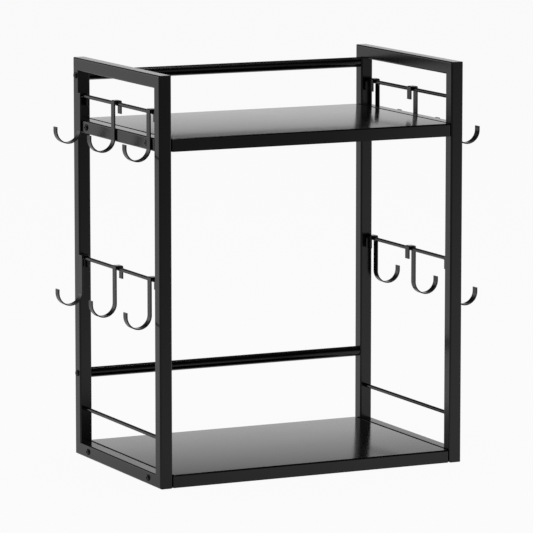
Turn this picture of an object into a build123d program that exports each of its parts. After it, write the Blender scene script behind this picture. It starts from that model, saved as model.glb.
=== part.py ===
from build123d import *
import os

os.makedirs("parts", exist_ok=True)

# Coffee station organizer: two welded side frames of square tube, two sheet shelves and two round
# back rails screwed between them, and twelve loose strip hooks hung on four rods.
# Millimetres, +Z up, +X to the right, the front faces -Y. Origin: middle of the footprint, on the table.

# Frame
frame_width = 407.0
frame_depth = 259.0
frame_height = 496.8
tube = 16.0
tube_wall = 1.2
tube_corner = 2.0
mid_rail_drop = 75.5

# Rods between the posts of each side frame
rod_diameter = 4.8
upper_rod_rise = 29.8
middle_rod_drop = 171.5
guard_rod_height = 58.5

# Shelves
sheet = 1.2
shelf_bend = 2.0
shelf_side_gap = 0.8
shelf_back_gap = 2.5
shelf_foot_gap = 0.3

# Round back rails
back_rail_diameter = 12.7
back_rail_wall = 1.2
upper_back_rail_drop = 22.0
lower_back_rail_height = 102.6
plug_length = 14.0
plug_clearance = 0.05

# Screws and rivet nuts
screw_diameter = 4.0
screw_length = 25.0
screw_hole_clearance = 0.2
thread_clearance = 0.05
head_diameter = 8.0
head_height = 2.0
head_rim = 0.4
socket_width = 2.5
socket_depth = 1.3
head_gap = 0.4
nut_wall = 0.95
nut_flange = 1.05
nut_collar_rise = 0.85
nut_collar_length = 2.2
nut_tail = 5.0
nut_hole_clearance = 0.05

# Strip hooks
strip_width = 10.0
strip_thickness = 1.6
strip_edge = 0.35
channel_clearance = 2.3
channel_bend = 0.2
hook_seat_gap = 0.1
hook_rail_gap = 0.55
hook_height = 62.6
inner_leg = 16.5
bowl_radius = 15.0
tip_rise = 4.8

# Gaps from the posts to the outer hooks of each row, as the loose hooks hang at rest
left_upper_back_gap = 0.3
left_upper_front_gap = 6.7
right_upper_back_gap = 6.1
right_upper_front_gap = 2.9
middle_back_gap = 3.1
middle_front_gap = 5.9

# Cuts run past the piece by this much
overrun = 2.0

half_width = frame_width / 2
half_depth = frame_depth / 2
rod_radius = rod_diameter / 2
channel_width = rod_diameter + channel_clearance
hook_rod_inset = channel_width / 2 - hook_rail_gap
post_inner_y = half_depth - tube
post_centre_y = half_depth - tube / 2
post_inner_x = half_width - tube
post_centre_x = half_width - tube / 2
hook_rod_x = half_width - hook_rod_inset
mid_rail_top = frame_height - mid_rail_drop
mid_rail_z = mid_rail_top - tube / 2
upper_rod_height = mid_rail_top + upper_rod_rise
middle_rod_height = mid_rail_top - middle_rod_drop
post_gap = 2 * post_inner_y
back_rail_bore = back_rail_diameter - 2 * back_rail_wall
upper_back_rail_height = frame_height - upper_back_rail_drop
shelf_half_width = post_inner_x - shelf_side_gap
shelf_depth = frame_depth - shelf_back_gap
shelf_flange = tube - shelf_foot_gap
front_hook_end = post_inner_y - left_upper_front_gap - strip_width
front_screw_y = front_hook_end - head_gap - head_diameter / 2
back_screw_y = front_screw_y - shelf_back_gap
shelf_screw_places = (-front_screw_y, back_screw_y)
threaded_bore = screw_diameter + 2 * thread_clearance
nut_body = screw_diameter + 2 * nut_wall
nut_head = nut_body + 2 * nut_flange
nut_collar = nut_body + 2 * nut_collar_rise
sides = {"left": -1, "right": 1}
rail_tops = {"upper": mid_rail_top, "lower": tube}
back_rail_heights = {"upper": upper_back_rail_height, "lower": lower_back_rail_height}
hook_rod_heights = {"upper": upper_rod_height, "middle": middle_rod_height}
hook_gaps = {
    ("left", "upper"): (left_upper_back_gap, left_upper_front_gap),
    ("left", "middle"): (middle_back_gap, middle_front_gap),
    ("right", "upper"): (right_upper_back_gap, right_upper_front_gap),
    ("right", "middle"): (middle_back_gap, middle_front_gap),
}


def write(shape, name):
    shape.label = name
    export_step(shape, f"parts/{name}.step")


# Square tube with rounded corners, centred on the Z axis and standing on z = 0
def square_tube(length):
    bore = tube - 2 * tube_wall
    outer = RectangleRounded(tube, tube, tube_corner)
    inner = RectangleRounded(bore, bore, tube_corner - tube_wall)
    return extrude(outer - inner, length)


# Turn a bar that stands on z = 0 so that it runs along +Y from y = start
def along_y(bar, x, start, z):
    return Pos(x, start, z) * Rot(-90, 0, 0) * bar


# Turn a piece drawn along +Z so that it points inwards from the given side
def inwards(piece, side, x, y, z):
    return Pos(side * x, y, z) * Rot(0, -90 * side, 0) * piece


# Mitre at a corner of a side frame: end is -1 in front and 1 behind, level is 1 on top and -1 below
def mitre(end, level):
    corner_z = frame_height if level > 0 else 0
    return Plane(origin=(0, end * half_depth, corner_z), z_dir=(0, -end, level))


# A hole right through a tube along X
def cross_hole(x, y, z):
    hole = Cylinder(screw_diameter / 2 + screw_hole_clearance, tube + 2 * overrun)
    return Pos(x, y, z) * Rot(0, 90, 0) * hole


def make_post(side, end):
    post = Pos(side * post_centre_x, end * post_centre_y, 0) * square_tube(frame_height)
    for level in (-1, 1):
        post = split(post, bisect_by=mitre(end, level), keep=Keep.BOTTOM)
    if end > 0:
        for z in back_rail_heights.values():
            post -= cross_hole(side * post_centre_x, post_centre_y, z)
    return post


# Top and bottom rails run the whole depth, and meet the posts in mitres
def make_long_rail(side, level):
    z = frame_height - tube / 2 if level > 0 else tube / 2
    rail = along_y(square_tube(frame_depth), side * post_centre_x, -half_depth, z)
    for end in (-1, 1):
        rail = split(rail, bisect_by=mitre(end, level), keep=Keep.TOP)
    return rail


# Mid rails and rods stand square against the posts
def make_mid_rail(side):
    return along_y(square_tube(post_gap), side * post_centre_x, -post_inner_y, mid_rail_z)


def drill_for_shelf(rail, side, z):
    for y in shelf_screw_places:
        rail -= cross_hole(side * post_centre_x, y, z)
    return rail


def make_rod(x, z):
    rod = extrude(Circle(rod_radius), post_gap)
    return along_y(rod, x, -post_inner_y, z)


# Sheet pan, flush with the tops of its rails, its flanges turned down and open below
def make_shelf(rail_top):
    width = 2 * shelf_half_width
    place = (Align.CENTER, Align.MIN, Align.MAX)
    outer = Pos(0, -half_depth, rail_top) * Box(width, shelf_depth, shelf_flange, align=place)
    top_edges = outer.faces().sort_by(Axis.Z)[-1].edges()
    outer = fillet(top_edges + outer.edges().filter_by(Axis.Z), shelf_bend)
    hollow = Box(width - 2 * sheet, shelf_depth - 2 * sheet, shelf_flange, align=place)
    hollow = Pos(0, -half_depth + sheet, rail_top - sheet) * hollow
    top_edges = hollow.faces().sort_by(Axis.Z)[-1].edges()
    hollow = fillet(top_edges + hollow.edges().filter_by(Axis.Z), shelf_bend - sheet)
    shelf = outer - hollow
    hole = Cylinder(nut_body / 2 + nut_hole_clearance, width + 2 * overrun)
    for y in shelf_screw_places:
        shelf -= Pos(0, y, rail_top - tube / 2) * Rot(0, 90, 0) * hole
    return shelf


def make_back_rail(z):
    ring = Circle(back_rail_diameter / 2) - Circle(back_rail_bore / 2)
    return Pos(-post_inner_x, post_centre_y, z) * Rot(0, 90, 0) * extrude(ring, 2 * post_inner_x)


# Button-head screw with a hexagon socket, its head seated at z = 0 and its shank along +Z
def make_screw():
    head = Pos(0, 0, -head_height / 2) * Cylinder(head_diameter / 2, head_height)
    head = fillet(head.edges().sort_by(Axis.Z)[0], head_height - head_rim)
    socket = RegularPolygon(socket_width / 2, 6, major_radius=False)
    head -= Pos(0, 0, -head_height) * extrude(socket, socket_depth)
    return head + extrude(Circle(screw_diameter / 2), screw_length)


# Threaded plug that fills the end of a back rail, from z = 0
def make_plug():
    body = Circle(back_rail_bore / 2 - plug_clearance) - Circle(threaded_bore / 2)
    return extrude(body, plug_length)


# Rivet nut set in a shelf flange: head against the rail at z = 0, collar and tail inside the shelf
def make_nut():
    collar_start = shelf_side_gap + sheet
    tail_end = collar_start + nut_collar_length + nut_tail
    nut = extrude(Circle(nut_head / 2), shelf_side_gap)
    nut += extrude(Circle(nut_body / 2), tail_end)
    nut += Pos(0, 0, collar_start) * extrude(Circle(nut_collar / 2), nut_collar_length)
    return nut - extrude(Circle(threaded_bore / 2), tail_end)


# Strip hook on the rod's axis: a square inverted U over the rod, a long leg and a round bowl outwards
def make_hook():
    half_channel = channel_width / 2
    seat = rod_radius + hook_seat_gap
    top = seat + strip_thickness
    leg_end = top - inner_leg
    bowl_z = top - hook_height + strip_thickness + bowl_radius
    bowl_x = half_channel + strip_thickness + bowl_radius
    outer_radius = bowl_radius + strip_thickness
    inner_end = bowl_x + bowl_radius
    outer_end = bowl_x + outer_radius
    tip = bowl_z + tip_rise
    outside = half_channel + strip_thickness
    lines = Polyline((half_channel, bowl_z), (half_channel, seat), (-half_channel, seat),
                     (-half_channel, leg_end), (-outside, leg_end), (-outside, top),
                     (outside, top), (outside, bowl_z))
    inner_bowl = ThreePointArc((outside, bowl_z), (bowl_x, bowl_z - bowl_radius), (inner_end, bowl_z))
    end = Polyline((inner_end, bowl_z), (inner_end, tip), (outer_end, tip), (outer_end, bowl_z))
    outer_bowl = ThreePointArc((outer_end, bowl_z), (bowl_x, bowl_z - outer_radius), (half_channel, bowl_z))
    profile = make_face(lines + inner_bowl + end + outer_bowl)
    seat_corners = profile.vertices().filter_by(lambda v: abs(v.Y - seat) < strip_edge)
    profile = fillet(seat_corners, channel_bend)
    top_corners = profile.vertices().filter_by(lambda v: abs(v.Y - top) < strip_edge)
    profile = fillet(top_corners, channel_bend + strip_thickness)
    hook = extrude(Plane.XZ * profile, strip_width / 2, both=True)
    return fillet(hook.faces().filter_by(Axis.Y).edges(), strip_edge)


# Side frames
for name, side in sides.items():
    write(make_post(side, -1), f"{name}_front_post")
    write(make_post(side, 1), f"{name}_back_post")
    write(make_long_rail(side, 1), f"{name}_top_rail")
    write(drill_for_shelf(make_mid_rail(side), side, mid_rail_z), f"{name}_mid_rail")
    write(drill_for_shelf(make_long_rail(side, -1), side, tube / 2), f"{name}_bottom_rail")
    write(make_rod(side * hook_rod_x, upper_rod_height), f"{name}_upper_hook_rod")
    write(make_rod(side * hook_rod_x, middle_rod_height), f"{name}_middle_hook_rod")
    write(make_rod(side * post_centre_x, guard_rod_height), f"{name}_guard_rod")

# Shelves and back rails
for name, rail_top in rail_tops.items():
    write(make_shelf(rail_top), f"{name}_shelf")
for name, z in back_rail_heights.items():
    write(make_back_rail(z), f"{name}_back_rail")

# Fasteners: each kind is one node of separate solids
screw = make_screw()
plug = make_plug()
nut = make_nut()
shelf_screws = []
rivet_nuts = []
back_rail_screws = []
end_plugs = []
for side in sides.values():
    for rail_top in rail_tops.values():
        for y in shelf_screw_places:
            z = rail_top - tube / 2
            shelf_screws.append(inwards(screw, side, half_width, y, z))
            rivet_nuts.append(inwards(nut, side, post_inner_x, y, z))
    for z in back_rail_heights.values():
        back_rail_screws.append(inwards(screw, side, half_width, post_centre_y, z))
        end_plugs.append(inwards(plug, side, post_inner_x, post_centre_y, z))
write(Compound(shelf_screws), "shelf_screws")
write(Compound(rivet_nuts), "shelf_rivet_nuts")
write(Compound(back_rail_screws), "back_rail_screws")
write(Compound(end_plugs), "back_rail_plugs")

# Hooks, three on each hook rod: one near each post and one midway between them
hook = make_hook()
for (name, row), (back_gap, front_gap) in hook_gaps.items():
    turn = 0 if sides[name] > 0 else 180
    back = post_inner_y - back_gap - strip_width / 2
    front = -post_inner_y + front_gap + strip_width / 2
    places = {"back": back, "centre": (back + front) / 2, "front": front}
    for place, y in places.items():
        hung = Pos(sides[name] * hook_rod_x, y, hook_rod_heights[row]) * Rot(0, 0, turn) * hook
        write(hung, f"hook_{name}_{row}_{place}")
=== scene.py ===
import math
import bpy
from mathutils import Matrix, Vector


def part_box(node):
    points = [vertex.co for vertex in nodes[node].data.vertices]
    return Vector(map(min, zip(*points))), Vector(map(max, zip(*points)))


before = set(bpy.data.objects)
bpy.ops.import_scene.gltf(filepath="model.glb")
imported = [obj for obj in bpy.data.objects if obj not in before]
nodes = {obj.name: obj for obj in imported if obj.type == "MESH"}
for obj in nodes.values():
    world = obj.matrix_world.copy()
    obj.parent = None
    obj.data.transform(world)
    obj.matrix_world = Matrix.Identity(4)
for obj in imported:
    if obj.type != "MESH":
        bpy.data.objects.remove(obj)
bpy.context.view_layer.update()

mm = 0.001
print("frame loaded:", len(nodes), "nodes")


# Colours and materials

# sRGB's own curve, undone
def toLinear(hexColour):
    channels = [int(hexColour[i:i + 2], 16) / 255 for i in (1, 3, 5)]
    return [c / 12.92 if c <= 0.04045 else ((c + 0.055) / 1.055) ** 2.4 for c in channels] + [1.0]


# A Mix node's sockets share their names, so they go by number
mixFactor, mixFloatA, mixFloatB, mixColourA, mixColourB = 0, 2, 3, 6, 7
mixedFloat, mixedColour = 0, 2


# Add a node: settings are its properties, values and links go by the number or name of an input
def addNode(tree, kind, settings=None, values=None, links=None):
    node = tree.nodes.new(kind)
    for key, value in (settings or {}).items():
        setattr(node, key, value)
    for key, value in (values or {}).items():
        node.inputs[key].default_value = value
    for key, source in (links or {}).items():
        tree.links.new(source, node.inputs[key])
    return node


def startMaterial(name):
    material = bpy.data.materials.new(name)
    material.use_nodes = True
    tree = material.node_tree
    tree.nodes.clear()
    shader = addNode(tree, "ShaderNodeBsdfPrincipled")
    addNode(tree, "ShaderNodeOutputMaterial", links={"Surface": shader.outputs["BSDF"]})
    return material, tree, shader


# Satin black powder coat, sprayed on and baked: the eye gets a black film with a soft gloss, whose fine
# orange peel and slow changes in thickness soften and unsettle the reflections a little
frameCoat = {
    "colour": "#08080a",
    "thinColour": "#040405",
    "roughness": (0.17, 0.21),
    "peelMm": 1.6,         # width of the orange peel's waves
    "peelDepthMm": 0.0007,
    "cloudMm": 70.0,       # width of the slow changes in thickness
    "crown": None,
}

# The same coat on the shelves, flatter on rolled sheet than on tube. It is shaded as faintly crowned, as bent
# edges could leave a sheet, so its reflections brighten to the back. The slopes are in degrees: at the front
# and back edges + means that the sheet rises to the back, and at the sides that it falls outwards
upperSheetCoat = dict(frameCoat, roughness=(0.14, 0.17), crown={"front": 2.6, "back": -1.0, "side": 1.0})
lowerSheetCoat = dict(frameCoat, roughness=(0.14, 0.17), crown={"front": 1.6, "back": -2.0, "side": 1.0})


def makePowderCoat(name, settings):
    material, tree, shader = startMaterial(name)
    place = addNode(tree, "ShaderNodeTexCoord").outputs["Object"]
    peel = addNode(tree, "ShaderNodeTexNoise", None,
                   {"Scale": 1 / (settings["peelMm"] * mm), "Detail": 1.0}, {"Vector": place})
    cloud = addNode(tree, "ShaderNodeTexNoise", None,
                    {"Scale": 1 / (settings["cloudMm"] * mm), "Detail": 2.0}, {"Vector": place})
    colour = addNode(tree, "ShaderNodeMix", {"data_type": "RGBA"},
                     {mixColourA: toLinear(settings["thinColour"]),
                      mixColourB: toLinear(settings["colour"])},
                     {mixFactor: cloud.outputs["Fac"]})
    low, high = settings["roughness"]
    rough = addNode(tree, "ShaderNodeMapRange", None, {"To Min": low, "To Max": high},
                    {"Value": cloud.outputs["Fac"]})
    bump = addNode(tree, "ShaderNodeBump", None, {"Distance": settings["peelDepthMm"] * mm},
                   {"Height": peel.outputs["Fac"]})
    if settings["crown"]:
        tree.links.new(makeCrown(tree, place, settings["crown"]).outputs["Normal"], bump.inputs["Normal"])
    tree.links.new(colour.outputs[mixedColour], shader.inputs["Base Color"])
    tree.links.new(rough.outputs["Result"], shader.inputs["Roughness"])
    tree.links.new(bump.outputs["Normal"], shader.inputs["Normal"])
    return material


# A height in metres over a shelf, as steep at each edge as the slopes say
def makeCrown(tree, place, slopes):
    low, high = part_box("upper_shelf")  # both shelves have this outline
    split = addNode(tree, "ShaderNodeSeparateXYZ", links={"Vector": place}).outputs
    depth = high[1] - low[1]
    front, back = (math.tan(math.radians(slopes[edge])) for edge in ("front", "back"))
    bend = (front - back) / (2 * depth)
    crest = low[1] + front / (2 * bend)  # the y at which the sheet is highest
    sideBend = math.tan(math.radians(slopes["side"])) / (high[0] - low[0])
    alongY = addNode(tree, "ShaderNodeMath", {"operation": "SUBTRACT"}, {1: crest}, {0: split["Y"]})
    squareY = addNode(tree, "ShaderNodeMath", {"operation": "MULTIPLY"}, None,
                      {0: alongY.outputs[0], 1: alongY.outputs[0]})
    squareX = addNode(tree, "ShaderNodeMath", {"operation": "MULTIPLY"}, None, {0: split["X"], 1: split["X"]})
    fallY = addNode(tree, "ShaderNodeMath", {"operation": "MULTIPLY"}, {1: -bend}, {0: squareY.outputs[0]})
    fall = addNode(tree, "ShaderNodeMath", {"operation": "MULTIPLY_ADD"}, {1: -sideBend},
                   {0: squareX.outputs[0], 2: fallY.outputs[0]})
    return addNode(tree, "ShaderNodeBump", None, {"Distance": 1.0}, {"Height": fall.outputs[0]})


# Black oxide on turned steel screws: a thin dark film, so the metal's own grey gleam comes through
blackOxide = {
    "colour": "#2b2b2e",
    "bareColour": "#4a4a4c",
    "roughness": (0.28, 0.4),
    "grainMm": 0.5,
}

# Bright zinc plate on pressed steel: pale, faintly blue metal with a cloudy sheen
zincPlate = {
    "colour": "#aeb3b8",
    "bareColour": "#c6c8c6",
    "roughness": (0.22, 0.36),
    "grainMm": 0.8,
}


def makePlatedMetal(name, settings):
    material, tree, shader = startMaterial(name)
    place = addNode(tree, "ShaderNodeTexCoord").outputs["Object"]
    grain = addNode(tree, "ShaderNodeTexNoise", None,
                    {"Scale": 1 / (settings["grainMm"] * mm), "Detail": 2.0}, {"Vector": place})
    colour = addNode(tree, "ShaderNodeMix", {"data_type": "RGBA"},
                     {mixColourA: toLinear(settings["colour"]),
                      mixColourB: toLinear(settings["bareColour"])},
                     {mixFactor: grain.outputs["Fac"]})
    low, high = settings["roughness"]
    rough = addNode(tree, "ShaderNodeMapRange", None, {"To Min": low, "To Max": high},
                    {"Value": grain.outputs["Fac"]})
    shader.inputs["Metallic"].default_value = 1.0
    tree.links.new(colour.outputs[mixedColour], shader.inputs["Base Color"])
    tree.links.new(rough.outputs["Result"], shader.inputs["Roughness"])
    return material


def dress(names, material):
    for name in names:
        nodes[name].data.materials.clear()
        nodes[name].data.materials.append(material)


shelves = ["upper_shelf", "lower_shelf"]
screws = ["shelf_screws", "back_rail_screws"]
plated = ["shelf_rivet_nuts", "back_rail_plugs"]
coated = [name for name in nodes if name not in shelves + screws + plated]
dress(coated, makePowderCoat("powder-coated steel", frameCoat))
dress(["upper_shelf"], makePowderCoat("powder-coated steel sheet, upper", upperSheetCoat))
dress(["lower_shelf"], makePowderCoat("powder-coated steel sheet, lower", lowerSheetCoat))
dress(screws, makePlatedMetal("black oxide steel", blackOxide))
dress(plated, makePlatedMetal("zinc-plated steel", zincPlate))
print("materials done")


# Studio

# Matt white paper. The camera sees mostly plain white and a little of the light and shadow on it. In
# reflections it carries a painted glow in place of lamp light falling off: pale behind the object and to the
# right, dimming towards the front left
paper = {
    "size": 40.0,                         # metres, well past what the camera sees
    "drop": 0.0002,                       # metres below the resting faces
    "colour": "#b0b0b0",
    "cameraWhite": 0.95,
    # levels of the painted glow in reflections, at its pale and its dim end
    "paintedGlowPale": 0.56,
    "paintedGlowDim": 0.1,
    "brighterTowards": (1.5, 1.0, 0.0),   # weights of x and y, whose sum in metres sets the brightness
    "paleFrom": 0.1,
    "dimFrom": -1.1,
}


def makeFloor(settings):
    bpy.ops.object.select_all(action="DESELECT")
    bpy.ops.mesh.primitive_plane_add(size=settings["size"], location=(0, 0, -settings["drop"]))
    floor = bpy.context.object
    floor.name = "floor"
    material, tree, shader = startMaterial("matt white paper")
    shader.inputs["Base Color"].default_value = toLinear(settings["colour"])
    shader.inputs["Roughness"].default_value = 1.0
    shader.inputs["Specular IOR Level"].default_value = 0.0
    place = addNode(tree, "ShaderNodeTexCoord").outputs["Object"]
    along = addNode(tree, "ShaderNodeVectorMath", {"operation": "DOT_PRODUCT"},
                    {1: settings["brighterTowards"]}, {0: place})
    # painted light: the floor's glow in reflections follows its place, pale behind and to the right, dim to
    # the front left
    dim = addNode(tree, "ShaderNodeMapRange", {"interpolation_type": "SMOOTHSTEP"},
                  {"From Min": settings["dimFrom"], "From Max": settings["paleFrom"],
                   "To Min": settings["paintedGlowDim"], "To Max": settings["paintedGlowPale"]},
                  {"Value": along.outputs["Value"]})
    path = addNode(tree, "ShaderNodeLightPath").outputs
    seen = addNode(tree, "ShaderNodeMath", {"operation": "MULTIPLY"}, {1: settings["cameraWhite"]},
                   {0: path["Is Camera Ray"]})
    mirrored = addNode(tree, "ShaderNodeMath", {"operation": "MAXIMUM"}, None,
                       {0: path["Is Glossy Ray"], 1: path["Is Transmission Ray"]})
    share = addNode(tree, "ShaderNodeMath", {"operation": "MULTIPLY_ADD"}, None,
                    {0: mirrored.outputs[0], 1: dim.outputs["Result"], 2: seen.outputs[0]})
    white = addNode(tree, "ShaderNodeEmission")
    mix = addNode(tree, "ShaderNodeMixShader", None, None,
                  {0: share.outputs[0], 1: shader.outputs["BSDF"], 2: white.outputs["Emission"]})
    tree.links.new(mix.outputs["Shader"], tree.nodes["Material Output"].inputs["Surface"])
    floor.data.materials.append(material)


# The room in reflections: pale low down behind, dim in front, dark overhead. Its heights are sines of the
# elevation. To the camera itself it is plain white
room = {
    "behind": 1.22,
    "front": 0.4,
    "overhead": 0.035,
    "paleBelow": 0.08,
    "darkAbove": 0.42,
    "cameraWhite": 1.0,
}


def makeWorld(settings):
    world = bpy.data.worlds.new("studio")
    bpy.context.scene.world = world
    world.use_nodes = True
    tree = world.node_tree
    tree.nodes.clear()
    direction = addNode(tree, "ShaderNodeTexCoord").outputs["Generated"]
    split = addNode(tree, "ShaderNodeSeparateXYZ", links={"Vector": direction}).outputs
    depth = addNode(tree, "ShaderNodeMapRange", None,
                    {"From Min": -1.0, "From Max": 1.0,
                     "To Min": settings["front"], "To Max": settings["behind"]},
                    {"Value": split["Y"]})
    height = addNode(tree, "ShaderNodeMapRange", {"interpolation_type": "SMOOTHSTEP"},
                     {"From Min": settings["paleBelow"], "From Max": settings["darkAbove"],
                      "To Min": 1.0, "To Max": settings["overhead"]},
                     {"Value": split["Z"]})
    level = addNode(tree, "ShaderNodeMath", {"operation": "MULTIPLY"}, None,
                    {0: depth.outputs["Result"], 1: height.outputs["Result"]})
    path = addNode(tree, "ShaderNodeLightPath").outputs
    shown = addNode(tree, "ShaderNodeMix", None, {mixFloatB: settings["cameraWhite"]},
                    {mixFactor: path["Is Camera Ray"], mixFloatA: level.outputs[0]})
    background = addNode(tree, "ShaderNodeBackground", links={"Strength": shown.outputs[mixedFloat]})
    addNode(tree, "ShaderNodeOutputWorld", links={"Surface": background.outputs["Background"]})


# Soft boxes: place, the point that each faces, width and height in metres, and power in watts. One hangs
# straight overhead, where no face turned to the photograph's camera mirrors it
softBoxes = {
    "overhead": {"place": (0.0, 0.1, 3.5), "target": (0.0, 0.0, 0.0), "size": (2.2, 2.2), "power": 85.0},
}


def makeSoftBox(name, settings):
    light = bpy.data.lights.new(name, "AREA")
    light.shape = "RECTANGLE"
    light.size, light.size_y = settings["size"]
    light.energy = settings["power"]
    holder = bpy.data.objects.new(name, light)
    bpy.context.scene.collection.objects.link(holder)
    place = Vector(settings["place"])
    holder.location = place
    holder.rotation_euler = (Vector(settings["target"]) - place).to_track_quat("-Z", "Y").to_euler()


camera = {
    "place": Vector((-2241.117, -4665.145, 997.419)) * mm,
    "target": Vector((-0.83, 0.0, 239.855)) * mm,
    "lens": 285.95,
    "sensor": 36.0,
    "near": 0.1,   # clipping distances in metres
    "far": 100.0,
}


def makeCamera(settings):
    lens = bpy.data.cameras.new("camera")
    lens.sensor_fit = "HORIZONTAL"
    lens.sensor_width = settings["sensor"]
    lens.lens = settings["lens"]
    lens.clip_start, lens.clip_end = settings["near"], settings["far"]
    holder = bpy.data.objects.new("camera", lens)
    bpy.context.scene.collection.objects.link(holder)
    holder.location = settings["place"]
    holder.rotation_euler = (settings["target"] - settings["place"]).to_track_quat("-Z", "Y").to_euler()
    bpy.context.scene.camera = holder


makeFloor(paper)
makeWorld(room)
for name, settings in softBoxes.items():
    makeSoftBox(name, settings)
makeCamera(camera)
bpy.context.scene.view_settings.view_transform = "Standard"
print("studio done")
